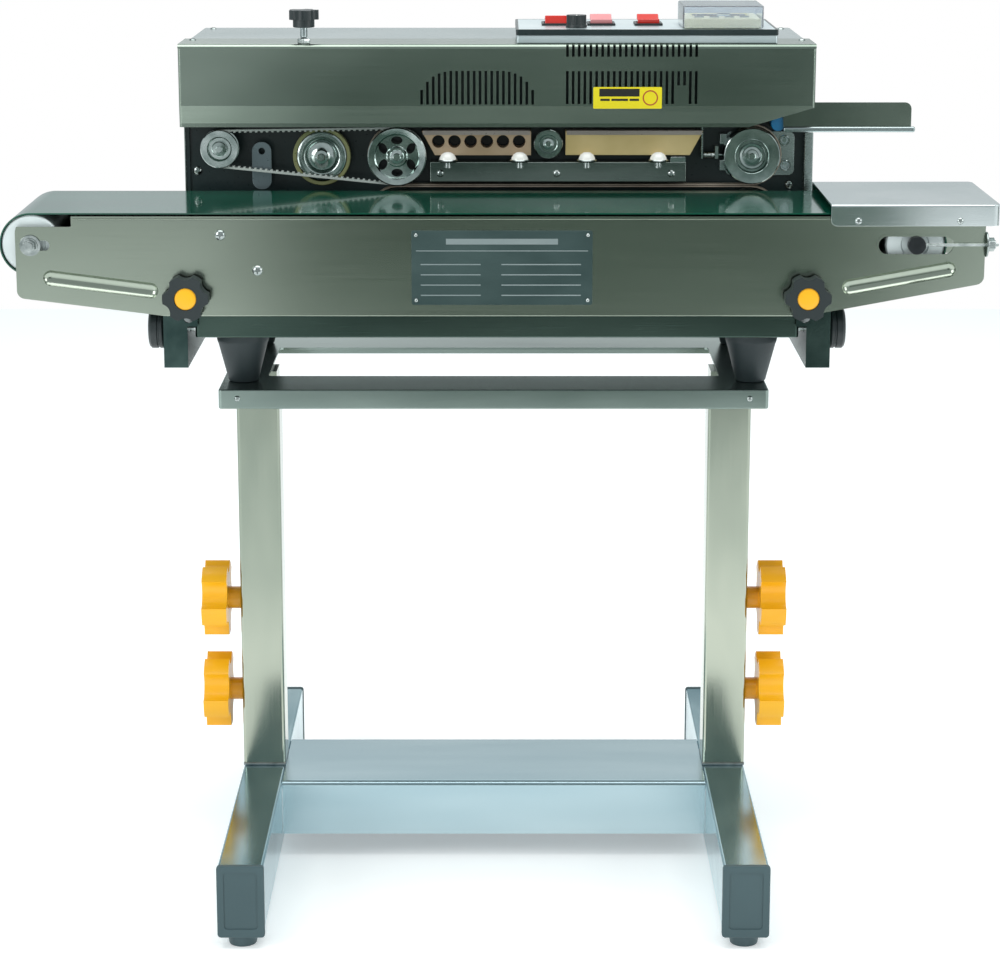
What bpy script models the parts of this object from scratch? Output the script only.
"""Continuous band sealer on a floor stand that adjusts in height.

Metres, +Z up, front towards -Y.  The origin is on the floor, under the middle
of the overall length and of the feet.
"""
import math

import bmesh
import bpy
from mathutils import Matrix, Vector

# ---------------------------------------------------------------- clearances
GAP = 0.0003            # between pieces that touch in the real machine
RUN_GAP = 0.0004        # between a wheel and the belt or band around it
SLIDE_GAP = 0.0003      # each side of a piece that slides in another
HOLE_GAP = 0.0004       # radial play of a shaft or stud in its hole

# --------------------------------------------------------------------- stand
STAND_X = -0.0046       # the stand stands a little left of the conveyor's middle
COLUMN_SIZE = 0.040
COLUMN_WALL = 0.0017
COLUMN_Y = 0.032
COLUMN_HEIGHT = 0.3675
FOOT_LENGTH = 0.520
FOOT_WIDTH = 0.040
FOOT_HEIGHT = 0.062
FOOT_WALL = 0.002
CAP_LENGTH = 0.006
CAP_LIP = 0.0007
PAD_RADIUS = 0.0145
PAD_HEIGHT = 0.0107
PAD_INSET = 0.018
TONGUE_LENGTH = 0.034
TONGUE_THICKNESS = 0.003
BEAM_DEPTH = 0.128
BEAM_HEIGHT = 0.052
BEAM_Y = 0.028
BEAM_EDGE = 0.004
SHEET = 0.0015          # folded sheet of the machine
POST_LAP = 0.340        # how far the inner post reaches into its column
TRAY_MARGIN = 0.0161    # tray beyond the middle of the rubber feet
TRAY_FRONT = -0.083
TRAY_BACK = 0.187
TRAY_DEPTH = 0.0177
TRAY_WALL = 0.002
TRAY_SIDE_RAIL = 0.040
TRAY_FRONT_RAIL = 0.064
TRAY_BACK_RAIL = 0.065

COLUMN_INSET = 0.0270   # middle of a column in from the side of the tray
COLUMN_KNOB_RISES = {"lower": 0.0705, "upper": 0.1610}  # above the foot beams
COLUMN_KNOB_RADIUS = 0.0355
COLUMN_KNOB_LOBE = 0.01065  # depth of the hollows between its lobes
COLUMN_KNOB_THICKNESS = 0.0235
COLUMN_KNOB_NECK_RADIUS = 0.0105
COLUMN_KNOB_NECK = 0.0120
COLUMN_STUD_RADIUS = 0.005

# -------------------------------------------------------------- machine base
MACHINE_X = -0.0015
RUBBER_FOOT_INSET = 0.0335
RUBBER_FOOT_YS = {"front": -0.038, "rear": 0.146}
RUBBER_FOOT_HEIGHT = 0.055
RUBBER_FOOT_TOP_RADIUS = 0.0235
RUBBER_FOOT_BOTTOM_RADIUS = 0.0135
RUBBER_FOOT_RIM = 0.006
BASE_INSET = 0.025      # base in from each side of the head
BASE_SETBACK = 0.008    # base behind the face of the conveyor
BASE_BACK = 0.236
BASE_HEIGHT = 0.020
BASE_WALL = 0.002

ARM_GAP = 0.006         # between the base and an arm
ARM_WIDTH = 0.021
ARM_HEIGHT = 0.0365
ARM_LENGTH = 0.330
ARM_WALL = 0.002
ARM_DROP = 0.009        # top of the arms below the top of the base
ARM_BRACKET_THICKNESS = 0.0025
ARM_BRACKET_HEIGHT = 0.038
ARM_BRACKET_WIDTH = 0.030
REACH_TRAVEL = 0.040
HEIGHT_TRAVEL = 0.020
ARM_KNOB_SETBACK = 0.028
ARM_KNOB_DROP = 0.0055  # knob's axis below the top of the arm
ARM_KNOB_RADIUS = 0.018
ARM_KNOB_THICKNESS = 0.0145
ARM_STUD_RADIUS = 0.003

# ------------------------------------------------------------------ conveyor
PLATE_LENGTH = 0.840
PLATE_X = 0.0014        # middle of the side plates
PLATE_HEIGHT = 0.0853
PLATE_FLAT_PAST_KNOB = {"left": 0.0171, "right": -0.0021}
PLATE_LEFT_RISE = 0.0163
PLATE_RIGHT_RISE = 0.0290
PLATE_CORNER = 0.006
END_FLANGE = 0.016
BELT_WIDTH = 0.148
BELT_EDGE_GAP = 0.0033  # between the belt and the front plate
TRAIN_GAP = 0.0031      # between the rear plate and the sealing wheels
BELT_THICKNESS = 0.0021
ROLLER_RADIUS = 0.025
ROLLER_RISE = 0.0623     # rollers' axis above the bottom of the side plates
DRIVE_ROLLER_INSET = 0.0130
TAIL_ROLLER_INSET = 0.0600
AXLE_RADIUS = 0.004
AXLE_REACH = 0.005      # axle beyond each side plate
ROLLER_CROWN = 0.0004
DRIVE_SLOT = 0.024
TAIL_SLOT = 0.0656
TAIL_SLOT_HEIGHT = 0.0155
REAR_PLATE_RISE = 0.0323
BED_FLANGE = 0.020
BED_END_GAP = 0.008
END_COVER_LENGTH = 0.146
END_COVER_OVERHANG = 0.012
END_COVER_CLEARANCE = 0.0065
END_COVER_FLANGE = 0.0185
HEIGHT_KNOB_INSET = 0.0115
HEIGHT_KNOB_RISE = 0.0183
HEIGHT_KNOB_RADIUS = 0.020
HEIGHT_KNOB_LOBE = 0.0032
HEIGHT_KNOB_NECK_RADIUS = 0.012
HEIGHT_KNOB_NECK = 0.0045
HEIGHT_KNOB_THICKNESS = 0.015
HEIGHT_STUD_RADIUS = 0.004

# ---------------------------------------------------------------------- head
HEAD_WIDTH = 0.578
HEAD_HEIGHT = 0.2233
HOOD_FRONT = 0.012
HOOD_DEPTH = 0.066
HOOD_HEIGHT = 0.075
HOOD_SLANT_LENGTH = 0.084
HOOD_SLANT_RISE = 0.026
HEAD_OVERHANG = 0.001   # head behind the base
BACK_PLATE_FRONT = 0.050
BACK_PLATE_THICKNESS = 0.003
CASE_SIDE_GAP = 0.0005

PANEL_WIDTH = 0.2379
PANEL_INSET = 0.0339    # from the right side of the head
PANEL_FRONT = 0.020
PANEL_BACK = 0.152
PANEL_HEIGHT = 0.0123
PANEL_WALL = 0.002
SWITCH_PLACES = {"power_switch": 0.0370, "heater_switch": 0.0790, "fan_switch": 0.1226}
SWITCH_TILT = {"power_switch": -8.0, "heater_switch": 8.0, "fan_switch": 8.0}
SWITCH_Y = 0.083
SWITCH_WIDTH = 0.020
SWITCH_LENGTH = 0.0245
SWITCH_END_HEIGHT = 0.0075
SWITCH_MIDDLE_HEIGHT = 0.0045
SWITCH_DEPTH = 0.004
SWITCH_TAPER = 0.00074
SWITCH_PLAY = 0.0010
SPEED_KNOB_PLACE = 0.0553
SPEED_KNOB_Y = 0.046
SPEED_KNOB_RADIUS = 0.0097
SPEED_KNOB_HEIGHT = 0.011
SPEED_SHAFT_RADIUS = 0.003
CONTROLLER_WIDTH = 0.0733
CONTROLLER_INSET = 0.0133
CONTROLLER_FRONT = 0.025
CONTROLLER_BACK = 0.102
LID_HEIGHT = 0.0203
LID_WALL = 0.0015
CONTROLLER_HEIGHT = 0.0090
CONTROLLER_PLAY = 0.0006
PRESSURE_OFFSET = 0.0140  # left of the pinch wheel's axis
PRESSURE_Y = 0.0225
PRESSURE_POST_RADIUS = 0.0033
PRESSURE_POST_REACH = 0.061  # below the hood's top
PRESSURE_NECK = 0.0145  # hood top to the underside of the knob
PRESSURE_HUB_RADIUS = 0.0098
PRESSURE_HUB_HEIGHT = 0.007
PRESSURE_KNOB_RADIUS = 0.0137
PRESSURE_KNOB_LOBE = 0.003425
PRESSURE_KNOB_HEIGHT = 0.0085

# ------------------------------------------------------------- sealing train
WHEEL_FRONT = 0.022
SEAL_RISE = 0.0931      # underside of the upper band above the base
SEAL_GAP = 0.0006       # between the two bands where they run together
BAND_THICKNESS = 0.0010
BAND_FRONT = 0.033
BAND_BACK = 0.044
PULLEY_DISTANCE = 0.1624  # idler pulley to drive pulley
BAND_WHEEL_INSET = 0.0555
DRIVE_PULLEY_RADIUS = 0.0275
BAND_WHEEL_RADIUS = 0.0280
IDLER_INSET = 0.0349
IDLER_RISE = 0.0345     # above the seal line
IDLER_RADIUS = 0.0180
TIMING_BELT_FRONT = 0.0245
TIMING_BELT_BACK = 0.0305
TIMING_BELT_THICKNESS = 0.0018
TIMING_GROOVE = 0.0006  # belt's back below the rim of its pulleys
PINCH_DISTANCE = 0.0930  # idler pulley to pinch wheel
PINCH_RISE = 0.0265
PINCH_RADIUS = 0.0266
MID_ROLLER_PROUD = 0.0018  # above the top of the blocks
MID_ROLLER_RADIUS = 0.0133
SHAFT_RADIUS = 0.0045
SHAFT_BACK = 0.060
BLOCK_FRONT = 0.026
BLOCK_DEPTH = 0.020
BLOCK_HEIGHT = 0.022
BLOCK_CLEARANCE = 0.0035  # under the band's upper run
BLOCK_LAP = 0.0047       # heating block past the rim of the drive pulley
BLOCK_WHEEL_GAP = 0.0168
HEATING_LENGTH = 0.100
ROLLER_SPACE = 0.0025   # between the middle roller and the block each side of it
BLOCK_SLANT = 0.012
HEATER_HOLES = 6
HEATER_HOLE_RADIUS = 0.0059
HEATER_HOLE_PITCH = 0.0148
HEATER_FIRST_HOLE = 0.0151
HEATER_HOLE_DROP = 0.0095
GUIDE_PULLEY_GAP = 0.0027
GUIDE_WHEEL_GAP = 0.0322
GUIDE_BAR_FRONT = 0.024
GUIDE_BAR_RISE = 0.0041  # above the seal line
GUIDE_ROLLER_GAP = 0.0032
BRACKET_PAST_WHEEL = {"left": 0.0228, "right": 0.0409}
BRACKET_HALF_HEIGHT = 0.0205
BRACKET_FRONT = 0.0452
BRACKET_CORNER = 0.006
INFEED_DISTANCE = 0.0340  # right of the band wheel's axis
INFEED_LENGTH = 0.1130
INFEED_RISE = 0.0495
INFEED_HEIGHT = 0.0270
INFEED_Y = 0.030
INFEED_FLANGE = 0.012
MOTOR_RADIUS = 0.036
MOTOR_LENGTH = 0.105
GEARBOX_RADIUS = 0.044
GEARBOX_LENGTH = 0.032

# --------------------------------------------------------- worked-out places
BASE_WIDTH = HEAD_WIDTH - 2 * BASE_INSET
ARM_SPACING = BASE_WIDTH + 2 * ARM_GAP + ARM_WIDTH
RUBBER_FOOT_SPACING = BASE_WIDTH - 2 * RUBBER_FOOT_INSET
TRAY_WIDTH = RUBBER_FOOT_SPACING + 2 * TRAY_MARGIN
COLUMN_X = TRAY_WIDTH / 2 - COLUMN_INSET

FOOT_BOTTOM = PAD_HEIGHT + TONGUE_THICKNESS + GAP
FOOT_TOP = FOOT_BOTTOM + FOOT_HEIGHT
COLUMN_TOP = FOOT_TOP + GAP + COLUMN_HEIGHT
TRAY_BOTTOM = COLUMN_TOP + GAP
TRAY_TOP = TRAY_BOTTOM + TRAY_DEPTH
BASE_BOTTOM = TRAY_TOP + GAP + RUBBER_FOOT_HEIGHT + GAP
BASE_TOP = BASE_BOTTOM + BASE_HEIGHT
ARM_TOP = BASE_TOP - ARM_DROP
ARM_X = ARM_SPACING / 2

REAR_PLATE_BACK = WHEEL_FRONT - TRAIN_GAP
REAR_PLATE_FRONT = REAR_PLATE_BACK - SHEET
BELT_BACK = REAR_PLATE_FRONT - 2 * GAP
BELT_FRONT = BELT_BACK - BELT_WIDTH
BELT_Y = (BELT_FRONT + BELT_BACK) / 2
PLATE_BACK = BELT_FRONT - BELT_EDGE_GAP
PLATE_FRONT = PLATE_BACK - SHEET
BASE_FRONT = PLATE_FRONT + BASE_SETBACK
ARM_KNOB_Y = PLATE_FRONT + ARM_KNOB_SETBACK
PLATE_BOTTOM = BASE_TOP + GAP
PLATE_TOP = PLATE_BOTTOM + PLATE_HEIGHT
PLATE_LEFT = PLATE_X - PLATE_LENGTH / 2
PLATE_RIGHT = PLATE_X + PLATE_LENGTH / 2
ROLLER_Z = PLATE_BOTTOM + ROLLER_RISE
DRIVE_ROLLER_X = PLATE_LEFT + DRIVE_ROLLER_INSET
TAIL_ROLLER_X = PLATE_RIGHT - TAIL_ROLLER_INSET
BELT_RADIUS = ROLLER_RADIUS + RUN_GAP + BELT_THICKNESS
END_COVER_RIGHT = PLATE_RIGHT + END_COVER_OVERHANG
END_COVER_LEFT = END_COVER_RIGHT - END_COVER_LENGTH
END_COVER_TOP = ROLLER_Z + BELT_RADIUS + END_COVER_CLEARANCE + SHEET
HEIGHT_KNOB_SPACING = ARM_SPACING - 2 * HEIGHT_KNOB_INSET
HEIGHT_KNOB_Z = PLATE_BOTTOM + HEIGHT_KNOB_RISE

HEAD_BOTTOM = BASE_TOP + GAP
HEAD_TOP = HEAD_BOTTOM + HEAD_HEIGHT
HEAD_LEFT = MACHINE_X - HEAD_WIDTH / 2
HEAD_RIGHT = MACHINE_X + HEAD_WIDTH / 2
HEAD_BACK = BASE_BACK + HEAD_OVERHANG
HOOD_BOTTOM = HEAD_TOP - HOOD_HEIGHT
CASE_HALF = HEAD_WIDTH / 2 - SHEET - CASE_SIDE_GAP
CASE_TOP = HEAD_TOP - SHEET - GAP
CASE_FRONT = BACK_PLATE_FRONT + BACK_PLATE_THICKNESS + GAP
PANEL_RIGHT = HEAD_RIGHT - PANEL_INSET
PANEL_LEFT = PANEL_RIGHT - PANEL_WIDTH
PANEL_BOTTOM = HEAD_TOP + GAP
PANEL_TOP = PANEL_BOTTOM + PANEL_HEIGHT
SPEED_KNOB_X = PANEL_LEFT + SPEED_KNOB_PLACE
CONTROLLER_RIGHT = PANEL_RIGHT - CONTROLLER_INSET
CONTROLLER_LEFT = CONTROLLER_RIGHT - CONTROLLER_WIDTH

SEAL_LINE = BASE_TOP + SEAL_RISE
IDLER_X = HEAD_LEFT + IDLER_INSET
IDLER_Z = SEAL_LINE + IDLER_RISE
PINCH_X = IDLER_X + PINCH_DISTANCE
PINCH_Z = SEAL_LINE + PINCH_RISE
PRESSURE_X = PINCH_X - PRESSURE_OFFSET
DRIVE_PULLEY_X = IDLER_X + PULLEY_DISTANCE
DRIVE_PULLEY_Z = SEAL_LINE + DRIVE_PULLEY_RADIUS
BAND_WHEEL_X = HEAD_RIGHT - BAND_WHEEL_INSET
BAND_WHEEL_Z = SEAL_LINE + BAND_WHEEL_RADIUS
LOWER_DRIVE_Z = SEAL_LINE - SEAL_GAP - DRIVE_PULLEY_RADIUS
LOWER_TAIL_Z = SEAL_LINE - SEAL_GAP - BAND_WHEEL_RADIUS
BLOCK_TOP = SEAL_LINE + 2 * DRIVE_PULLEY_RADIUS - BAND_THICKNESS - BLOCK_CLEARANCE
BLOCK_BOTTOM = BLOCK_TOP - BLOCK_HEIGHT
HEATING_LEFT = DRIVE_PULLEY_X + DRIVE_PULLEY_RADIUS - BLOCK_LAP
HEATING_RIGHT = HEATING_LEFT + HEATING_LENGTH
MID_ROLLER_X = HEATING_RIGHT + ROLLER_SPACE + MID_ROLLER_RADIUS
MID_ROLLER_Z = BLOCK_TOP + MID_ROLLER_PROUD - MID_ROLLER_RADIUS
COOLING_LEFT = MID_ROLLER_X + MID_ROLLER_RADIUS + ROLLER_SPACE
COOLING_RIGHT = BAND_WHEEL_X - BAND_WHEEL_RADIUS - BLOCK_WHEEL_GAP
GUIDE_BAR_LEFT = DRIVE_PULLEY_X + DRIVE_PULLEY_RADIUS + GUIDE_PULLEY_GAP
GUIDE_BAR_RIGHT = BAND_WHEEL_X - BAND_WHEEL_RADIUS - GUIDE_WHEEL_GAP
GUIDE_BAR_BOTTOM = SEAL_LINE + GUIDE_BAR_RISE
GUIDE_BAR_TOP = MID_ROLLER_Z - MID_ROLLER_RADIUS - GUIDE_ROLLER_GAP
INFEED_LEFT = BAND_WHEEL_X + INFEED_DISTANCE
INFEED_RIGHT = INFEED_LEFT + INFEED_LENGTH
INFEED_BOTTOM = SEAL_LINE + INFEED_RISE
INFEED_TOP = INFEED_BOTTOM + INFEED_HEIGHT

# ------------------------------------------------------------------- clean up
for old in list(bpy.data.objects):
    bpy.data.objects.remove(old)

parts = bpy.data.collections.new("band_sealer")
cutters = bpy.data.collections.new("cutters")
for collection in (parts, cutters):
    bpy.context.scene.collection.children.link(collection)


def make_material(name, colour, roughness, metallic=0.0):
    """A Principled material in one colour."""
    material = bpy.data.materials.new(name)
    material.use_nodes = True
    shader = material.node_tree.nodes["Principled BSDF"]
    shader.inputs["Base Color"].default_value = (*colour, 1.0)
    shader.inputs["Roughness"].default_value = roughness
    shader.inputs["Metallic"].default_value = metallic
    return material


POLISHED = make_material("polished_steel", (0.62, 0.68, 0.66), 0.15, 1.0)
BRUSHED = make_material("brushed_steel", (0.30, 0.35, 0.31), 0.35, 1.0)
CHROME = make_material("chrome", (0.72, 0.75, 0.76), 0.08, 1.0)
BLACK_PLATE = make_material("black_plate", (0.012, 0.014, 0.016), 0.40)
BLACK_PLASTIC = make_material("black_plastic", (0.020, 0.024, 0.028), 0.45)
RUBBER = make_material("rubber", (0.035, 0.045, 0.050), 0.75)
ORANGE = make_material("orange_plastic", (0.95, 0.42, 0.03), 0.35)
GREEN_BELT = make_material("green_belt", (0.010, 0.120, 0.060), 0.15)
BAND_CLOTH = make_material("band_cloth", (0.35, 0.27, 0.20), 0.55)
TOOTHED_BELT = make_material("toothed_belt", (0.62, 0.62, 0.58), 0.60)
BRASS = make_material("brass", (0.55, 0.42, 0.24), 0.35, 1.0)
RED_ROCKER = make_material("red_rocker", (0.75, 0.02, 0.01), 0.25)
CREAM = make_material("cream_plastic", (0.80, 0.74, 0.55), 0.45)
CLEAR = make_material("clear_plastic", (0.85, 0.88, 0.90), 0.05)
MOTOR_GREY = make_material("motor_grey", (0.25, 0.26, 0.27), 0.50)


# ------------------------------------------------------------ shape functions
def add_empty(name, x):
    """An empty on the floor that a group of pieces hangs from."""
    empty = bpy.data.objects.new(name, None)
    empty.location = (x, 0.0, 0.0)
    parts.objects.link(empty)
    return empty


conveyor_origin = add_empty("conveyor_origin", 0.0)
stand_origin = add_empty("stand_origin", STAND_X)
machine_origin = add_empty("machine_origin", MACHINE_X)


def add_object(name, mesh, material, group, origin=(0, 0, 0)):
    """Link a mesh as one named piece, or as a cutter when it has no material."""
    piece = bpy.data.objects.new(name, mesh)
    piece.location = origin
    piece.parent = group
    if material is None:
        piece.hide_render = True
        piece.display_type = "WIRE"
        cutters.objects.link(piece)
    else:
        mesh.materials.append(material)
        parts.objects.link(piece)
    return piece


def smooth(piece, angle=35):
    """Round faces shaded smooth, edges kept."""
    piece.data.shade_smooth()
    piece.data.set_sharp_from_angle(angle=math.radians(angle))
    return piece


def add_box(name, low, high, material=None, group=conveyor_origin, origin=None):
    """A box between two corners, whose object sits at origin or at its own middle."""
    low = Vector(low)
    high = Vector(high)
    middle = (low + high) / 2
    origin = middle if origin is None else Vector(origin)
    mesh = bpy.data.meshes.new(name)
    builder = bmesh.new()
    bmesh.ops.create_cube(builder, size=1.0)
    bmesh.ops.scale(builder, vec=high - low, verts=builder.verts)
    bmesh.ops.translate(builder, vec=middle - origin, verts=builder.verts)
    builder.to_mesh(mesh)
    builder.free()
    return add_object(name, mesh, material, group, origin)


TURN_TO = {
    "+x": Matrix.Rotation(math.pi / 2, 4, "Y"),
    "-x": Matrix.Rotation(-math.pi / 2, 4, "Y"),
    "+y": Matrix.Rotation(-math.pi / 2, 4, "X"),
    "-y": Matrix.Rotation(math.pi / 2, 4, "X"),
    "+z": Matrix.Identity(4),
}


def add_rod(name, radius, start, length, towards, material=None, group=conveyor_origin, sides=16):
    """A round bar from start along one axis."""
    mesh = bpy.data.meshes.new(name)
    builder = bmesh.new()
    bmesh.ops.create_cone(builder, cap_ends=True, segments=sides, radius1=radius, radius2=radius,
                          depth=length)
    bmesh.ops.translate(builder, vec=(0, 0, length / 2), verts=builder.verts)
    bmesh.ops.transform(builder, matrix=TURN_TO[towards], verts=builder.verts)
    builder.to_mesh(mesh)
    builder.free()
    return smooth(add_object(name, mesh, material, group, start))


def add_turned(name, profile, place, towards, material=None, group=conveyor_origin, sides=28):
    """A turned piece: (radius, height) points down the outer side, top to bottom."""
    closed = profile[0][0] > 0
    edges = [(i, i + 1) for i in range(len(profile) - 1)]
    if closed:
        edges.append((len(profile) - 1, 0))
    mesh = bpy.data.meshes.new(name)
    mesh.from_pydata([(radius, 0.0, height) for radius, height in profile], edges, [])
    piece = add_object(name, mesh, material, group, place)
    screw = piece.modifiers.new("turn", "SCREW")
    screw.steps = sides
    screw.render_steps = sides
    screw.use_merge_vertices = True
    screw.merge_threshold = 0.00001
    screw.use_smooth_shade = True
    piece.rotation_euler = TURN_TO[towards].to_euler()
    return piece


def add_sheet(name, outlines, thickness, place, facing, material=None, group=conveyor_origin):
    """A flat outline, with any holes as further outlines, given thickness about its plane.

    facing "front" stands the outline up in X and Z, "side" in Y and Z, "top" lays it down.
    """
    curve = bpy.data.curves.new(name, "CURVE")
    curve.dimensions = "2D"
    curve.fill_mode = "BOTH"
    curve.extrude = thickness / 2
    for outline in outlines:
        spline = curve.splines.new("POLY")
        spline.points.add(len(outline) - 1)
        for point, (u, v) in zip(spline.points, outline):
            point.co = (u, v, 0.0, 1.0)
        spline.use_cyclic_u = True
    drawn = bpy.data.objects.new(name + "_outline", curve)
    parts.objects.link(drawn)
    turn = {
        "front": Matrix.Rotation(math.pi / 2, 4, "X"),
        "side": Matrix(((0, 0, 1, 0), (1, 0, 0, 0), (0, 1, 0, 0), (0, 0, 0, 1))),
        "top": Matrix.Identity(4),
    }[facing]
    shapes = bpy.context.evaluated_depsgraph_get()
    mesh = bpy.data.meshes.new_from_object(drawn.evaluated_get(shapes))
    bpy.data.objects.remove(drawn)
    mesh.name = name
    mesh.materials.clear()
    builder = bmesh.new()
    builder.from_mesh(mesh)
    bmesh.ops.remove_doubles(builder, verts=builder.verts, dist=0.000001)
    bmesh.ops.transform(builder, matrix=turn, verts=builder.verts)
    bmesh.ops.recalc_face_normals(builder, faces=builder.faces)
    builder.to_mesh(mesh)
    builder.free()
    return smooth(add_object(name, mesh, material, group, place), 30)


def combine(piece, other, operation):
    """Join a helper solid to a piece, or cut it away."""
    if other.name in parts.objects:
        parts.objects.unlink(other)
        cutters.objects.link(other)
    other.hide_render = True
    other.display_type = "WIRE"
    step = piece.modifiers.new(operation.lower(), "BOOLEAN")
    step.operation = operation
    step.solver = "EXACT"
    step.object = other
    return piece


def join(piece, *others):
    """Union of a piece with helper solids that reach into it."""
    for other in others:
        combine(piece, other, "UNION")
    return piece


def cut(piece, *others):
    """Helper solids cut out of a piece."""
    for other in others:
        combine(piece, other, "DIFFERENCE")
    return piece


def round_edges(piece, width, segments=2, angle=40):
    """A Bevel on the sharp edges."""
    bevel = piece.modifiers.new("edges", "BEVEL")
    bevel.width = width
    bevel.segments = segments
    bevel.limit_method = "ANGLE"
    bevel.angle_limit = math.radians(angle)
    return piece


def arc(centre, radius, start, end, steps):
    """Points on an arc, angles in degrees."""
    points = []
    for i in range(steps + 1):
        angle = math.radians(start + (end - start) * i / steps)
        points.append((centre[0] + radius * math.cos(angle), centre[1] + radius * math.sin(angle)))
    return points


def circle(centre, radius, steps=16):
    """A closed round outline."""
    return arc(centre, radius, 0, 360, steps)[:-1]


def slot(centre, length, width, upright=False, steps=6):
    """A closed outline with two round ends, length measured over the ends."""
    half = (length - width) / 2
    points = arc((half, 0), width / 2, -90, 90, steps) + arc((-half, 0), width / 2, 90, 270, steps)
    if upright:
        points = [(-v, u) for u, v in points]
    return [(centre[0] + u, centre[1] + v) for u, v in points]


def rounded(corners, radius, steps=4):
    """A closed outline with its corners rounded to one radius."""
    points = []
    for i, corner in enumerate(corners):
        here = Vector(corner)
        before = (Vector(corners[i - 1]) - here).normalized()
        after = (Vector(corners[(i + 1) % len(corners)]) - here).normalized()
        half_angle = before.angle(after) / 2
        setback = radius / math.tan(half_angle)
        centre = here + (before + after).normalized() * (radius / math.sin(half_angle))
        first = here + before * setback - centre
        turn = first.angle_signed(here + after * setback - centre)
        for j in range(steps + 1):
            points.append(tuple(centre + Matrix.Rotation(-turn * j / steps, 2) @ first))
    return points


def rectangle(left, right, bottom, top):
    """The four corners of a rectangle, anticlockwise."""
    return [(left, bottom), (right, bottom), (right, top), (left, top)]


def lobed(radius, depth, lobes, steps=8):
    """The outline of a star knob."""
    points = []
    for i in range(lobes * steps):
        angle = math.tau * i / (lobes * steps)
        size = radius - depth * (0.5 - 0.5 * math.cos(lobes * angle))
        points.append((size * math.cos(angle), size * math.sin(angle)))
    return points


def around(left, left_radius, right, right_radius, steps=14):
    """The outline of a belt drawn tight around two circles, left and right."""
    span = Vector(right) - Vector(left)
    lean = math.degrees(math.asin((left_radius - right_radius) / span.length))
    tilt = math.degrees(math.atan2(span.y, span.x))
    return (arc(right, right_radius, tilt - 90 + lean, tilt + 90 - lean, steps)
            + arc(left, left_radius, tilt + 90 - lean, tilt + 270 + lean, steps))


SIDES = {"left": -1, "right": 1}
AWAY = {"left": "-x", "right": "+x"}


def spread(side, inner, outer):
    """The low and high X of a piece given by its distances from the middle."""
    return tuple(sorted((SIDES[side] * inner, SIDES[side] * outer)))


# ------------------------------------------------------------ stand: the base
def make_foot_beam(side):
    """A rectangular tube along Y, closed by a cap at each end."""
    inner, outer = spread(side, COLUMN_X - FOOT_WIDTH / 2, COLUMN_X + FOOT_WIDTH / 2)
    end = FOOT_LENGTH / 2 - CAP_LENGTH - GAP
    beam = add_box(f"foot_beam_{side}", (inner, -end, FOOT_BOTTOM), (outer, end, FOOT_TOP),
                   POLISHED, stand_origin)
    bore = add_box(f"foot_bore_{side}",
                   (inner + FOOT_WALL, -end - FOOT_WALL, FOOT_BOTTOM + FOOT_WALL),
                   (outer - FOOT_WALL, end + FOOT_WALL, FOOT_TOP - FOOT_WALL), None, stand_origin)
    return cut(beam, bore)


def make_end_foot(side, end_name, direction):
    """A moulded cap over the end of a foot beam, with its tongue and round pad below."""
    x = SIDES[side] * COLUMN_X
    half = FOOT_WIDTH / 2 + CAP_LIP
    end = direction * FOOT_LENGTH / 2
    back = end - direction * CAP_LENGTH
    tongue_end = end - direction * TONGUE_LENGTH
    name = f"end_foot_{end_name}_{side}"
    cap = add_box(name, (x - half, min(end, back), PAD_HEIGHT),
                  (x + half, max(end, back), FOOT_TOP + CAP_LIP), RUBBER, stand_origin)
    inside = (end + back) / 2
    tongue = add_box(name + "_tongue", (x - PAD_RADIUS, min(inside, tongue_end), PAD_HEIGHT),
                     (x + PAD_RADIUS, max(inside, tongue_end), PAD_HEIGHT + TONGUE_THICKNESS), None,
                     stand_origin)
    pad = add_rod(name + "_pad", PAD_RADIUS - 0.0005, (x, end - direction * PAD_INSET, 0.0),
                  PAD_HEIGHT + TONGUE_THICKNESS / 2, "+z", None, stand_origin)
    return join(cap, tongue, pad)


def make_cross_beam():
    """A folded channel, open below, between the two foot beams."""
    half = COLUMN_X - FOOT_WIDTH / 2 - GAP
    front = BEAM_Y - BEAM_DEPTH / 2
    back = BEAM_Y + BEAM_DEPTH / 2
    bottom = FOOT_TOP - BEAM_HEIGHT
    below = bottom - 2 * BEAM_EDGE
    outer = [(front, below), (back, below), (back, FOOT_TOP), (front, FOOT_TOP)]
    beam = add_sheet("cross_beam", [rounded(outer, BEAM_EDGE, 3)], 2 * half, (0, 0, 0), "side",
                     POLISHED, stand_origin)
    hollow = add_box("cross_beam_hollow", (-half - SHEET, front + SHEET, below - SHEET),
                     (half + SHEET, back - SHEET, FOOT_TOP - SHEET), None, stand_origin)
    trim = add_box("cross_beam_trim", (-half - 2 * SHEET, front - SHEET, below - 2 * SHEET),
                   (half + 2 * SHEET, back + SHEET, bottom), None, stand_origin)
    return cut(beam, hollow, trim)


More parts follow.
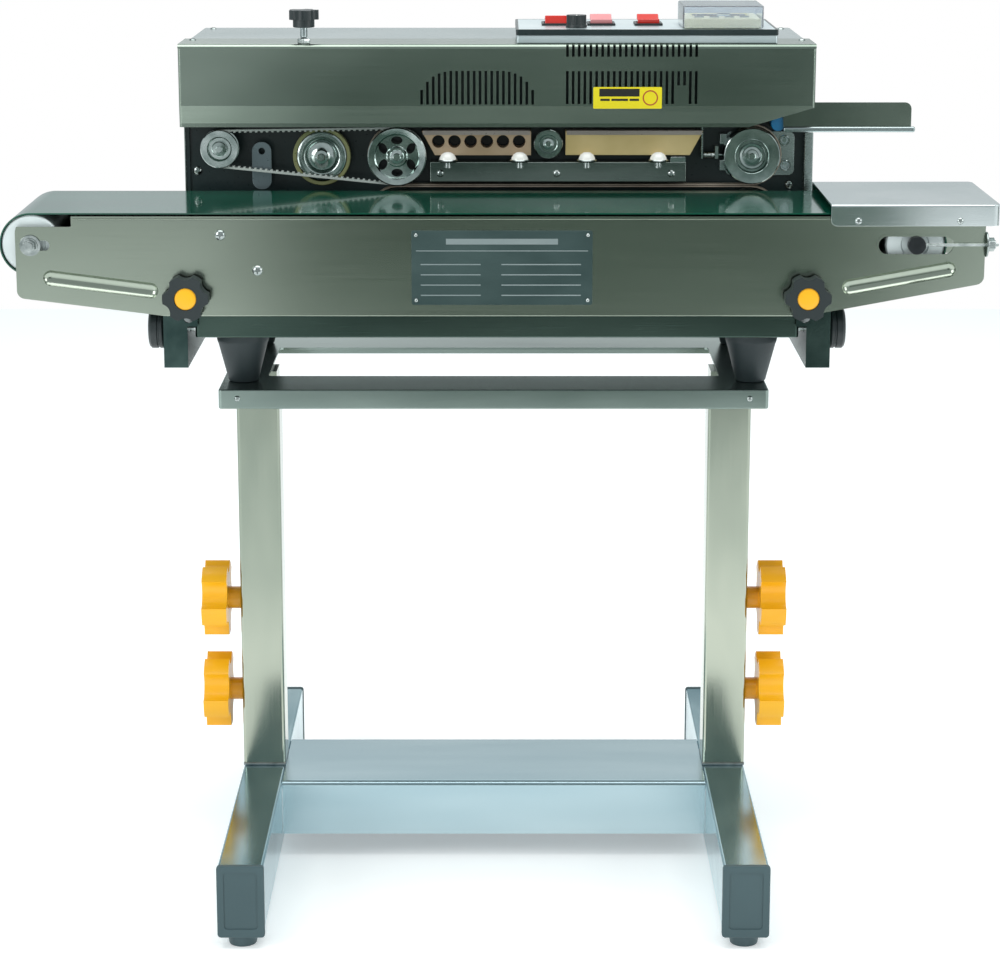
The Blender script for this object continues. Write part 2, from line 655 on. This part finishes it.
def make_column(side):
    """A square tube, open at both ends, with two threaded holes in its outer face."""
    inner, outer = spread(side, COLUMN_X - COLUMN_SIZE / 2, COLUMN_X + COLUMN_SIZE / 2)
    front = COLUMN_Y - COLUMN_SIZE / 2
    back = COLUMN_Y + COLUMN_SIZE / 2
    bottom = FOOT_TOP + GAP
    column = add_box(f"column_{side}", (inner, front, bottom), (outer, back, COLUMN_TOP),
                     POLISHED, stand_origin)
    bore = add_box(f"column_bore_{side}",
                   (inner + COLUMN_WALL, front + COLUMN_WALL, bottom - COLUMN_WALL),
                   (outer - COLUMN_WALL, back - COLUMN_WALL, COLUMN_TOP + COLUMN_WALL), None, stand_origin)
    cut(column, bore)
    for level, rise in COLUMN_KNOB_RISES.items():
        start = (SIDES[side] * (COLUMN_X + COLUMN_SIZE / 2 - 2 * COLUMN_WALL), COLUMN_Y, FOOT_TOP + rise)
        cut(column, add_rod(f"column_hole_{side}_{level}", COLUMN_STUD_RADIUS + HOLE_GAP, start,
                            4 * COLUMN_WALL, AWAY[side], None, stand_origin))
    return column


def make_column_knob(side, level):
    """A five-lobed knob whose screw goes through the column and clamps the inner post."""
    face = COLUMN_X + COLUMN_SIZE / 2 + GAP
    height = FOOT_TOP + COLUMN_KNOB_RISES[level]
    post_face = COLUMN_X + COLUMN_SIZE / 2 - COLUMN_WALL - SLIDE_GAP
    sign = SIDES[side]
    head_middle = face + COLUMN_KNOB_NECK + COLUMN_KNOB_THICKNESS / 2
    name = f"column_knob_{side}_{level}"
    star = lobed(COLUMN_KNOB_RADIUS, COLUMN_KNOB_LOBE, 5)
    head = add_sheet(name, [star], COLUMN_KNOB_THICKNESS, (sign * head_middle, COLUMN_Y, height),
                     "side", ORANGE, stand_origin)
    neck = add_rod(name + "_neck", COLUMN_KNOB_NECK_RADIUS, (sign * face, COLUMN_Y, height),
                   COLUMN_KNOB_NECK + COLUMN_KNOB_THICKNESS / 2, AWAY[side], None, stand_origin)
    screw = add_rod(name + "_screw", COLUMN_STUD_RADIUS, (sign * (post_face + GAP), COLUMN_Y, height),
                    COLUMN_WALL + COLUMN_KNOB_NECK, AWAY[side], None, stand_origin, 12)
    return join(head, neck, screw)


def make_post(side):
    """The square tube that slides in a column and carries the tray."""
    half = COLUMN_SIZE / 2 - COLUMN_WALL - SLIDE_GAP
    x = SIDES[side] * COLUMN_X
    bottom = TRAY_BOTTOM - POST_LAP
    top = TRAY_TOP - TRAY_WALL - GAP
    post = add_box(f"post_{side}", (x - half, COLUMN_Y - half, bottom), (x + half, COLUMN_Y + half, top),
                   POLISHED, stand_origin)
    inside = half - COLUMN_WALL
    bore = add_box(f"post_bore_{side}", (x - inside, COLUMN_Y - inside, bottom - COLUMN_WALL),
                   (x + inside, COLUMN_Y + inside, top - COLUMN_WALL), None, stand_origin)
    return cut(post, bore)


def make_tray_frame():
    """An angle frame: a flat ring with a flange down all round its outer edge."""
    half = TRAY_WIDTH / 2
    frame = add_box("tray_frame", (-half, TRAY_FRONT, TRAY_BOTTOM), (half, TRAY_BACK, TRAY_TOP),
                    POLISHED, stand_origin)
    under = add_box("tray_under", (TRAY_WALL - half, TRAY_FRONT + TRAY_WALL, TRAY_BOTTOM - TRAY_WALL),
                    (half - TRAY_WALL, TRAY_BACK - TRAY_WALL, TRAY_TOP - TRAY_WALL), None, stand_origin)
    opening = add_box("tray_opening",
                      (TRAY_SIDE_RAIL - half, TRAY_FRONT + TRAY_FRONT_RAIL, TRAY_BOTTOM),
                      (half - TRAY_SIDE_RAIL, TRAY_BACK - TRAY_BACK_RAIL, TRAY_TOP + TRAY_WALL), None,
                      stand_origin)
    return cut(frame, under, opening)


for side in SIDES:
    make_foot_beam(side)
    make_end_foot(side, "front", -1)
    make_end_foot(side, "rear", 1)
    make_column(side)
    make_post(side)
    for level in COLUMN_KNOB_RISES:
        make_column_knob(side, level)
make_cross_beam()
make_tray_frame()


# -------------------------------------------------------------- machine base
def make_rubber_foot(side, place):
    """A tapered rubber foot between the tray and the machine."""
    profile = [(0, RUBBER_FOOT_HEIGHT),
               (RUBBER_FOOT_TOP_RADIUS, RUBBER_FOOT_HEIGHT),
               (RUBBER_FOOT_TOP_RADIUS, RUBBER_FOOT_HEIGHT - RUBBER_FOOT_RIM),
               (RUBBER_FOOT_BOTTOM_RADIUS, 0),
               (0, 0)]
    x = SIDES[side] * RUBBER_FOOT_SPACING / 2
    return add_turned(f"rubber_foot_{place}_{side}", profile, (x, RUBBER_FOOT_YS[place], TRAY_TOP + GAP), "+z",
                      RUBBER, machine_origin, 20)


def make_machine_base():
    """The folded steel pan that the whole machine is built on, open below."""
    half = BASE_WIDTH / 2
    base = add_box("machine_base", (-half, BASE_FRONT, BASE_BOTTOM), (half, BASE_BACK, BASE_TOP),
                   BRUSHED, machine_origin)
    under = add_box("base_under", (BASE_WALL - half, BASE_FRONT + BASE_WALL, BASE_BOTTOM - BASE_WALL),
                    (half - BASE_WALL, BASE_BACK - BASE_WALL, BASE_TOP - BASE_WALL), None, machine_origin)
    cut(base, under)
    for side in SIDES:
        start = (SIDES[side] * (half - 2 * BASE_WALL), ARM_KNOB_Y, ARM_TOP - ARM_KNOB_DROP)
        cut(base, add_rod(f"base_hole_{side}", ARM_STUD_RADIUS + HOLE_GAP, start, 4 * BASE_WALL, AWAY[side],
                          None, machine_origin, 12))
    return base


def make_arm(side):
    """A slotted box arm beside the base, with the upright bracket that holds the conveyor."""
    sign = SIDES[side]
    inner, outer = spread(side, ARM_X - ARM_WIDTH / 2, ARM_X + ARM_WIDTH / 2)
    bottom = ARM_TOP - ARM_HEIGHT
    front = PLATE_BACK + GAP
    bracket_inner = ARM_X + ARM_WIDTH / 2 - ARM_BRACKET_WIDTH
    outline = [(ARM_X - ARM_WIDTH / 2, bottom), (ARM_X + ARM_WIDTH / 2, bottom),
               (ARM_X + ARM_WIDTH / 2, ARM_TOP + ARM_BRACKET_HEIGHT),
               (bracket_inner, ARM_TOP + ARM_BRACKET_HEIGHT), (bracket_inner, ARM_TOP),
               (ARM_X - ARM_WIDTH / 2, ARM_TOP)]
    stud_width = 2 * (HEIGHT_STUD_RADIUS + HOLE_GAP)
    slot_middle = HEIGHT_KNOB_Z - HEIGHT_TRAVEL / 2
    window = slot((HEIGHT_KNOB_SPACING / 2, slot_middle), HEIGHT_TRAVEL + stud_width, stud_width, True)
    outlines = [[(sign * u, v) for u, v in shape] for shape in (outline, window)]
    arm = add_sheet(f"arm_{side}", outlines, ARM_BRACKET_THICKNESS,
                    (0, front + ARM_BRACKET_THICKNESS / 2, 0), "front", CHROME, machine_origin)
    bar = add_box(f"arm_bar_{side}", (inner, front + ARM_BRACKET_THICKNESS / 2, bottom),
                  (outer, front + ARM_LENGTH, ARM_TOP), None, machine_origin)
    bore = add_box(f"arm_bore_{side}", (inner + ARM_WALL, front + ARM_BRACKET_THICKNESS, bottom + ARM_WALL),
                   (outer - ARM_WALL, front + ARM_LENGTH + ARM_WALL, ARM_TOP - ARM_WALL), None, machine_origin)
    half_slot = ARM_STUD_RADIUS + HOLE_GAP
    knob_z = ARM_TOP - ARM_KNOB_DROP
    guide = add_box(f"arm_slot_{side}", (inner - ARM_WALL, ARM_KNOB_Y - half_slot, knob_z - half_slot),
                    (outer + ARM_WALL, ARM_KNOB_Y + REACH_TRAVEL + half_slot, knob_z + half_slot), None,
                    machine_origin)
    return cut(join(arm, bar), bore, guide)


def make_arm_knob(side):
    """A round knob whose screw passes through the arm's slot into the base."""
    face = ARM_X + ARM_WIDTH / 2 + GAP
    inside = BASE_WIDTH / 2 - 2 * BASE_WALL
    half = ARM_KNOB_THICKNESS
    profile = [(0, half), (ARM_KNOB_RADIUS - 0.002, half), (ARM_KNOB_RADIUS, half - 0.002), (ARM_KNOB_RADIUS, 0.002),
               (ARM_KNOB_RADIUS - 0.002, 0), (ARM_STUD_RADIUS, 0), (ARM_STUD_RADIUS, inside - face),
               (0, inside - face)]
    return add_turned(f"arm_knob_{side}", profile, (SIDES[side] * face, ARM_KNOB_Y, ARM_TOP - ARM_KNOB_DROP),
                      AWAY[side], BLACK_PLASTIC, machine_origin, 20)


make_machine_base()
for side in SIDES:
    make_arm(side)
    make_arm_knob(side)
    for place in RUBBER_FOOT_YS:
        make_rubber_foot(side, place)


# ------------------------------------------------------------------ conveyor
def axle_slots():
    """The outlines of the two slots that the roller axles sit in."""
    width = 2 * (AXLE_RADIUS + HOLE_GAP)
    drive = slot((DRIVE_ROLLER_X + (DRIVE_SLOT - width) / 2, ROLLER_Z), DRIVE_SLOT, width)
    tail = slot((TAIL_ROLLER_X, ROLLER_Z), TAIL_SLOT, TAIL_SLOT_HEIGHT)
    return [drive, tail]


def make_front_plate():
    """The long front side plate, with a flange bent back at its tail end."""
    knob_xs = {side: MACHINE_X + sign * HEIGHT_KNOB_SPACING / 2 for side, sign in SIDES.items()}
    flat_left = knob_xs["left"] - PLATE_FLAT_PAST_KNOB["left"]
    flat_right = knob_xs["right"] + PLATE_FLAT_PAST_KNOB["right"]
    right_bottom = PLATE_BOTTOM + PLATE_RIGHT_RISE
    outline = [(PLATE_LEFT, PLATE_BOTTOM + PLATE_LEFT_RISE), (flat_left, PLATE_BOTTOM), (flat_right, PLATE_BOTTOM),
               (PLATE_RIGHT, right_bottom), (PLATE_RIGHT, PLATE_TOP), (PLATE_LEFT, PLATE_TOP)]
    holes = axle_slots()
    for knob_x in knob_xs.values():
        holes.append(circle((knob_x, HEIGHT_KNOB_Z), HEIGHT_STUD_RADIUS + HOLE_GAP, 12))
    plate = add_sheet("conveyor_front_plate", [rounded(outline, PLATE_CORNER)] + holes, SHEET,
                      (0, PLATE_FRONT + SHEET / 2, 0), "front", BRUSHED)
    flange = add_box("end_flange", (PLATE_RIGHT - SHEET, PLATE_FRONT + SHEET / 2, right_bottom + PLATE_CORNER),
                     (PLATE_RIGHT, PLATE_FRONT + END_FLANGE, PLATE_TOP - PLATE_CORNER))
    return join(plate, flange)


def make_rear_plate():
    """The rear side plate, with the slider bed under the belt and its front flange."""
    top = ROLLER_Z + ROLLER_RADIUS
    outline = rectangle(PLATE_LEFT, PLATE_RIGHT, PLATE_BOTTOM + REAR_PLATE_RISE, top)
    plate = add_sheet("conveyor_rear_plate", [rounded(outline, PLATE_CORNER)] + axle_slots(), SHEET,
                      (0, REAR_PLATE_FRONT + SHEET / 2, 0), "front", BRUSHED)
    left = DRIVE_ROLLER_X + BELT_RADIUS + BED_END_GAP
    right = TAIL_ROLLER_X - BELT_RADIUS - BED_END_GAP
    front = PLATE_BACK + GAP
    bed = add_box("slider_bed", (left, front, top - SHEET), (right, REAR_PLATE_FRONT + SHEET / 2, top))
    flange = add_box("slider_flange", (left, front, top - BED_FLANGE), (right, front + SHEET, top - SHEET / 2))
    return join(plate, bed, flange)


def make_roller(name, x):
    """A roller between the side plates, with its axle through both."""
    length = BELT_WIDTH - 2 * GAP
    front = -length / 2
    axle_front = PLATE_FRONT - AXLE_REACH - BELT_Y
    axle_back = REAR_PLATE_BACK + AXLE_REACH / 2 - BELT_Y
    profile = [(0, -axle_front), (AXLE_RADIUS, -axle_front), (AXLE_RADIUS, -front),
               (ROLLER_RADIUS - ROLLER_CROWN, -front), (ROLLER_RADIUS, -front / 2), (ROLLER_RADIUS, front / 2),
               (ROLLER_RADIUS - ROLLER_CROWN, front), (AXLE_RADIUS, front), (AXLE_RADIUS, -axle_back),
               (0, -axle_back)]
    return add_turned(name, profile, (x, BELT_Y, ROLLER_Z), "-y", POLISHED)


def make_belt():
    """The flat conveyor belt, one closed loop around both rollers."""
    left = (DRIVE_ROLLER_X, ROLLER_Z)
    right = (TAIL_ROLLER_X, ROLLER_Z)
    inside = ROLLER_RADIUS + RUN_GAP
    return add_sheet("conveyor_belt",
                     [around(left, BELT_RADIUS, right, BELT_RADIUS), around(left, inside, right, inside)],
                     BELT_WIDTH, (0, BELT_Y, 0), "front", GREEN_BELT)


def make_end_cover():
    """A polished cover over the tail of the belt, open below and towards the belt."""
    front = PLATE_FRONT - GAP - SHEET
    back = REAR_PLATE_BACK + GAP + SHEET
    bottom = END_COVER_TOP - END_COVER_FLANGE
    cover = add_box("end_cover", (END_COVER_LEFT, front, bottom), (END_COVER_RIGHT, back, END_COVER_TOP), CHROME)
    hollow = add_box("end_cover_hollow", (END_COVER_LEFT - SHEET, front + SHEET, bottom - SHEET),
                     (END_COVER_RIGHT - SHEET, back - SHEET, END_COVER_TOP - SHEET))
    round_edges(cover, 0.0012, 1)
    return cut(cover, hollow)


def make_height_knob(side):
    """A star knob in front of the plate, whose screw runs in the arm bracket's slot."""
    x = SIDES[side] * HEIGHT_KNOB_SPACING / 2
    face = PLATE_FRONT - GAP
    name = f"height_knob_{side}"
    middle = face - HEIGHT_KNOB_NECK - HEIGHT_KNOB_THICKNESS / 2
    head = add_sheet(name, [lobed(HEIGHT_KNOB_RADIUS, HEIGHT_KNOB_LOBE, 6, 6)], HEIGHT_KNOB_THICKNESS,
                     (x, middle, HEIGHT_KNOB_Z), "front", BLACK_PLASTIC, machine_origin)
    neck = add_rod(name + "_neck", HEIGHT_KNOB_NECK_RADIUS, (x, face, HEIGHT_KNOB_Z),
                   HEIGHT_KNOB_NECK + HEIGHT_KNOB_THICKNESS / 2, "-y", None, machine_origin)
    screw_end = PLATE_BACK + GAP + ARM_BRACKET_THICKNESS + 2 * SHEET
    screw = add_rod(name + "_screw", HEIGHT_STUD_RADIUS, (x, screw_end, HEIGHT_KNOB_Z),
                    screw_end - face + HEIGHT_KNOB_NECK, "-y", None, machine_origin, 12)
    return join(head, neck, screw)


make_front_plate()
make_rear_plate()
make_roller("drive_roller", DRIVE_ROLLER_X)
make_roller("tail_roller", TAIL_ROLLER_X)
make_belt()
make_end_cover()
for side in SIDES:
    make_height_knob(side)


# ---------------------------------------------------------------------- head
def make_hood():
    """The front cover over the sealing wheels: front, ends and the front strip of the top."""
    half = HEAD_WIDTH / 2
    slant_start = half - HOOD_SLANT_LENGTH
    outline = [(-half, HOOD_BOTTOM), (slant_start, HOOD_BOTTOM), (half, HOOD_BOTTOM + HOOD_SLANT_RISE),
               (half, HEAD_TOP), (-half, HEAD_TOP)]
    hood = add_sheet("head_hood", [outline], HOOD_DEPTH, (0, HOOD_FRONT + HOOD_DEPTH / 2, 0), "front",
                     BRUSHED, machine_origin)
    hollow = add_box("hood_hollow", (SHEET - half, HOOD_FRONT + SHEET, HOOD_BOTTOM - HOOD_SLANT_RISE),
                     (half - SHEET, HOOD_FRONT + HOOD_DEPTH + SHEET, HEAD_TOP - SHEET), None, machine_origin)
    post_x = PRESSURE_X - MACHINE_X
    hole = add_rod("hood_hole", PRESSURE_POST_RADIUS + HOLE_GAP, (post_x, PRESSURE_Y, HEAD_TOP - 2 * SHEET),
                   4 * SHEET, "+z", None, machine_origin, 12)
    return cut(hood, hollow, hole)


def make_case():
    """The rear housing that holds the motor and the electrics, open at the front."""
    case = add_box("head_case", (-CASE_HALF, CASE_FRONT, HEAD_BOTTOM), (CASE_HALF, HEAD_BACK, CASE_TOP),
                   BRUSHED, machine_origin)
    hollow = add_box("case_hollow", (SHEET - CASE_HALF, CASE_FRONT - SHEET, HEAD_BOTTOM + SHEET),
                     (CASE_HALF - SHEET, HEAD_BACK - SHEET, CASE_TOP - SHEET), None, machine_origin)
    return cut(case, hollow)


SHAFTS = {
    "idler_pulley": (IDLER_X, IDLER_Z),
    "pinch_wheel": (PINCH_X, PINCH_Z),
    "drive_pulley": (DRIVE_PULLEY_X, DRIVE_PULLEY_Z),
    "mid_roller": (MID_ROLLER_X, MID_ROLLER_Z),
    "lower_drive_wheel": (DRIVE_PULLEY_X, LOWER_DRIVE_Z),
    "lower_tail_wheel": (BAND_WHEEL_X, LOWER_TAIL_Z),
}


def make_back_plate():
    """The black plate behind the sealing train, bored for the shafts."""
    outline = rectangle(MACHINE_X - CASE_HALF, MACHINE_X + CASE_HALF, HEAD_BOTTOM, CASE_TOP)
    holes = [circle(centre, SHAFT_RADIUS + HOLE_GAP, 12) for centre in SHAFTS.values()]
    return add_sheet("back_plate", [outline] + holes, BACK_PLATE_THICKNESS,
                     (0, BACK_PLATE_FRONT + BACK_PLATE_THICKNESS / 2, 0), "front", BLACK_PLATE)


def make_control_panel():
    """The raised panel for the switches, open below."""
    panel = add_box("control_panel", (PANEL_LEFT, PANEL_FRONT, PANEL_BOTTOM), (PANEL_RIGHT, PANEL_BACK, PANEL_TOP),
                    BLACK_PLASTIC)
    under = add_box("panel_under", (PANEL_LEFT + PANEL_WALL, PANEL_FRONT + PANEL_WALL, PANEL_BOTTOM - PANEL_WALL),
                    (PANEL_RIGHT - PANEL_WALL, PANEL_BACK - PANEL_WALL, PANEL_TOP - PANEL_WALL))
    cut(panel, under)
    width = SWITCH_WIDTH / 2 + SWITCH_PLAY / 2
    length = SWITCH_LENGTH / 2 + SWITCH_PLAY
    for name, place in SWITCH_PLACES.items():
        x = PANEL_LEFT + place
        cut(panel, add_box(name + "_window", (x - width, SWITCH_Y - length, PANEL_TOP - 2 * PANEL_WALL),
                           (x + width, SWITCH_Y + length, PANEL_TOP + PANEL_WALL)))
    shaft = add_rod("speed_hole", SPEED_SHAFT_RADIUS + HOLE_GAP,
                    (SPEED_KNOB_X, SPEED_KNOB_Y, PANEL_TOP - 2 * PANEL_WALL), 4 * PANEL_WALL, "+z")
    return cut(panel, shaft)


def make_switch(name, x):
    """A rocker with raised ends, at rest tilted to one side."""
    end = SWITCH_LENGTH / 2
    foot = end - SWITCH_TAPER
    outline = [(-end, SWITCH_END_HEIGHT), (-foot, -SWITCH_DEPTH), (foot, -SWITCH_DEPTH), (end, SWITCH_END_HEIGHT),
               (0, SWITCH_MIDDLE_HEIGHT)]
    rocker = add_sheet(name, [outline], SWITCH_WIDTH, (x, SWITCH_Y, PANEL_TOP), "side", RED_ROCKER)
    rocker.rotation_euler.x = math.radians(SWITCH_TILT[name])
    return rocker


def make_speed_knob():
    """The speed knob, its shaft through the panel."""
    low = GAP
    shaft_end = -2 * PANEL_WALL
    high = low + SPEED_KNOB_HEIGHT
    edge = 0.001
    profile = [(0, high), (SPEED_KNOB_RADIUS - edge, high), (SPEED_KNOB_RADIUS, high - edge),
               (SPEED_KNOB_RADIUS, low), (SPEED_SHAFT_RADIUS, low), (SPEED_SHAFT_RADIUS, shaft_end),
               (0, shaft_end)]
    return add_turned("speed_knob", profile, (SPEED_KNOB_X, SPEED_KNOB_Y, PANEL_TOP), "+z", BLACK_PLASTIC, sides=20)


def make_controller():
    """The temperature controller on the panel, and the clear lid hinged over it."""
    inside = LID_WALL + CONTROLLER_PLAY
    bottom = PANEL_TOP + GAP
    controller = add_box("temperature_controller",
                         (CONTROLLER_LEFT + inside, CONTROLLER_FRONT + inside, bottom),
                         (CONTROLLER_RIGHT - inside, CONTROLLER_BACK - inside, bottom + CONTROLLER_HEIGHT), CREAM)
    round_edges(controller, 0.0012, 1)
    lid_bottom = PANEL_TOP + 2 * GAP
    hinge = ((CONTROLLER_LEFT + CONTROLLER_RIGHT) / 2, CONTROLLER_BACK, lid_bottom)
    lid = add_box("controller_lid", (CONTROLLER_LEFT, CONTROLLER_FRONT, lid_bottom),
                  (CONTROLLER_RIGHT, CONTROLLER_BACK, lid_bottom + LID_HEIGHT), CLEAR, origin=hinge)
    hollow = add_box("lid_hollow", (CONTROLLER_LEFT + LID_WALL, CONTROLLER_FRONT + LID_WALL, lid_bottom - LID_WALL),
                     (CONTROLLER_RIGHT - LID_WALL, CONTROLLER_BACK - LID_WALL, lid_bottom + LID_HEIGHT - LID_WALL))
    cut(lid, hollow)


def make_pressure_knob():
    """The star knob on its long screw through the top of the hood."""
    underside = HEAD_TOP + PRESSURE_NECK
    hub_top = underside + PRESSURE_HUB_HEIGHT
    name = "pressure_knob"
    head = add_sheet(name, [lobed(PRESSURE_KNOB_RADIUS, PRESSURE_KNOB_LOBE, 5, 6)], PRESSURE_KNOB_HEIGHT,
                     (PRESSURE_X, PRESSURE_Y, hub_top + PRESSURE_KNOB_HEIGHT / 2), "top", BLACK_PLASTIC)
    hub = add_rod(name + "_hub", PRESSURE_HUB_RADIUS, (PRESSURE_X, PRESSURE_Y, underside),
                  PRESSURE_HUB_HEIGHT + PRESSURE_KNOB_HEIGHT / 2, "+z")
    screw = add_rod(name + "_screw", PRESSURE_POST_RADIUS, (PRESSURE_X, PRESSURE_Y, HEAD_TOP - PRESSURE_POST_REACH),
                    PRESSURE_POST_REACH + PRESSURE_NECK + PRESSURE_HUB_HEIGHT / 2, "+z", None, conveyor_origin, 12)
    return join(head, hub, screw)


make_hood()
make_case()
make_back_plate()
make_control_panel()
for name, place in SWITCH_PLACES.items():
    make_switch(name, PANEL_LEFT + place)
make_speed_knob()
make_controller()
make_pressure_knob()


# ------------------------------------------------------------- sealing train
def make_wheel(name, x, z, rings, back=SHAFT_BACK):
    """A turned wheel on its shaft: rings are (radius, front, back) steps from the front."""
    first = rings[0][1]
    profile = [(0, first)]
    for radius, start, end in rings:
        profile += [(radius, start), (radius, end)]
    profile += [(SHAFT_RADIUS, rings[-1][2]), (SHAFT_RADIUS, back), (0, back)]
    flipped = [(radius, -y) for radius, y in profile]
    return add_turned(name, flipped, (x, 0.0, z), "-y", POLISHED)


def timing_rings(rim):
    """Flange, groove for the toothed belt, flange."""
    groove = rim - TIMING_GROOVE - TIMING_BELT_THICKNESS - RUN_GAP
    return [(rim, WHEEL_FRONT, TIMING_BELT_FRONT - RUN_GAP),
            (groove, TIMING_BELT_FRONT - RUN_GAP, TIMING_BELT_BACK + RUN_GAP)]


def band_ring(rim):
    """The flat rim that carries the sealing band."""
    return (rim - BAND_THICKNESS - RUN_GAP, BAND_FRONT - RUN_GAP, BAND_BACK)


def make_wheels():
    """Every wheel of the sealing train, above and below the seal line."""
    make_wheel("idler_pulley", IDLER_X, IDLER_Z,
               timing_rings(IDLER_RADIUS) + [(IDLER_RADIUS, TIMING_BELT_BACK + RUN_GAP, BAND_FRONT - RUN_GAP)])
    make_wheel("pinch_wheel", PINCH_X, PINCH_Z, [(PINCH_RADIUS, BAND_FRONT, BAND_BACK)])
    make_wheel("drive_pulley", DRIVE_PULLEY_X, DRIVE_PULLEY_Z,
               timing_rings(DRIVE_PULLEY_RADIUS)
               + [(DRIVE_PULLEY_RADIUS - BAND_THICKNESS - RUN_GAP, TIMING_BELT_BACK + RUN_GAP, BAND_BACK)])
    make_wheel("mid_roller", MID_ROLLER_X, MID_ROLLER_Z, [(MID_ROLLER_RADIUS, GUIDE_BAR_FRONT, BAND_BACK)])
    make_wheel("band_wheel", BAND_WHEEL_X, BAND_WHEEL_Z,
               [(BAND_WHEEL_RADIUS, WHEEL_FRONT, BAND_FRONT - RUN_GAP), band_ring(BAND_WHEEL_RADIUS)],
               BRACKET_FRONT - GAP)
    make_wheel("lower_drive_wheel", DRIVE_PULLEY_X, LOWER_DRIVE_Z, [band_ring(DRIVE_PULLEY_RADIUS)])
    make_wheel("lower_tail_wheel", BAND_WHEEL_X, LOWER_TAIL_Z, [band_ring(BAND_WHEEL_RADIUS)])


def make_loop(name, left, left_rim, right, right_rim, thickness, front, back, material):
    """A flat band around two wheels."""
    outer = around(left, left_rim, right, right_rim)
    inner = around(left, left_rim - thickness, right, right_rim - thickness)
    return add_sheet(name, [outer, inner], back - front, (0, (front + back) / 2, 0), "front", material)


def make_bands():
    """The toothed belt and the two sealing bands."""
    make_loop("timing_belt", (IDLER_X, IDLER_Z), IDLER_RADIUS - TIMING_GROOVE,
              (DRIVE_PULLEY_X, DRIVE_PULLEY_Z), DRIVE_PULLEY_RADIUS - TIMING_GROOVE, TIMING_BELT_THICKNESS,
              TIMING_BELT_FRONT, TIMING_BELT_BACK, TOOTHED_BELT)
    make_loop("sealing_band", (DRIVE_PULLEY_X, DRIVE_PULLEY_Z), DRIVE_PULLEY_RADIUS,
              (BAND_WHEEL_X, BAND_WHEEL_Z), BAND_WHEEL_RADIUS, BAND_THICKNESS, BAND_FRONT, BAND_BACK, BAND_CLOTH)
    make_loop("lower_sealing_band", (DRIVE_PULLEY_X, LOWER_DRIVE_Z), DRIVE_PULLEY_RADIUS,
              (BAND_WHEEL_X, LOWER_TAIL_Z), BAND_WHEEL_RADIUS, BAND_THICKNESS, BAND_FRONT, BAND_BACK, BAND_CLOTH)


def make_blocks():
    """The drilled heating block and the plain cooling block, each with one slanted end."""
    heating = [(HEATING_LEFT + BLOCK_SLANT, BLOCK_BOTTOM), (HEATING_RIGHT, BLOCK_BOTTOM),
               (HEATING_RIGHT, BLOCK_TOP), (HEATING_LEFT, BLOCK_TOP)]
    first = HEATING_LEFT + HEATER_FIRST_HOLE
    hole_z = BLOCK_TOP - HEATER_HOLE_DROP
    holes = [circle((first + i * HEATER_HOLE_PITCH, hole_z), HEATER_HOLE_RADIUS, 14)
             for i in range(HEATER_HOLES)]
    depth_middle = BLOCK_FRONT + BLOCK_DEPTH / 2
    add_sheet("heating_block", [heating] + holes, BLOCK_DEPTH, (0, depth_middle, 0), "front", BRASS)
    cooling = [(COOLING_LEFT, BLOCK_BOTTOM), (COOLING_RIGHT - BLOCK_SLANT, BLOCK_BOTTOM),
               (COOLING_RIGHT, BLOCK_TOP), (COOLING_LEFT, BLOCK_TOP)]
    add_sheet("cooling_block", [cooling], BLOCK_DEPTH, (0, depth_middle, 0), "front", BRASS)


def make_guides():
    """The bar under the blocks, the sliding bracket of the band wheel and the infeed guide."""
    add_box("guide_bar", (GUIDE_BAR_LEFT, GUIDE_BAR_FRONT, GUIDE_BAR_BOTTOM),
            (GUIDE_BAR_RIGHT, BACK_PLATE_FRONT - GAP, GUIDE_BAR_TOP), CHROME)
    back = BACK_PLATE_FRONT - GAP
    left = BAND_WHEEL_X - BRACKET_PAST_WHEEL["left"]
    right = BAND_WHEEL_X + BRACKET_PAST_WHEEL["right"]
    bracket = rectangle(left, right, BAND_WHEEL_Z - BRACKET_HALF_HEIGHT, BAND_WHEEL_Z + BRACKET_HALF_HEIGHT)
    shape = rounded(bracket, BRACKET_CORNER)
    add_sheet("wheel_bracket", [shape], back - BRACKET_FRONT, (0, (back + BRACKET_FRONT) / 2, 0), "front", CHROME)
    face = [(INFEED_LEFT, INFEED_BOTTOM), (INFEED_RIGHT, INFEED_BOTTOM), (INFEED_RIGHT, INFEED_TOP),
            (INFEED_LEFT, INFEED_TOP)]
    guide = add_sheet("infeed_guide", [face], SHEET, (0, INFEED_Y - SHEET / 2, 0), "front", BRUSHED)
    shelf = add_box("infeed_shelf", (INFEED_LEFT, INFEED_Y - INFEED_FLANGE, INFEED_BOTTOM),
                    (INFEED_RIGHT + INFEED_FLANGE / 3, INFEED_Y - SHEET / 2, INFEED_BOTTOM + SHEET))
    join(guide, shelf)


def make_motor():
    """The gear motor behind the drive pulley's shaft."""
    start = SHAFT_BACK + GAP
    end = start + GEARBOX_LENGTH + MOTOR_LENGTH
    profile = [(0, -start), (GEARBOX_RADIUS, -start), (GEARBOX_RADIUS, -start - GEARBOX_LENGTH),
               (MOTOR_RADIUS, -start - GEARBOX_LENGTH), (MOTOR_RADIUS, -end), (0, -end)]
    return add_turned("drive_motor", profile, (DRIVE_PULLEY_X, 0.0, DRIVE_PULLEY_Z), "-y", MOTOR_GREY, sides=20)


make_wheels()
make_bands()
make_blocks()
make_guides()
make_motor()
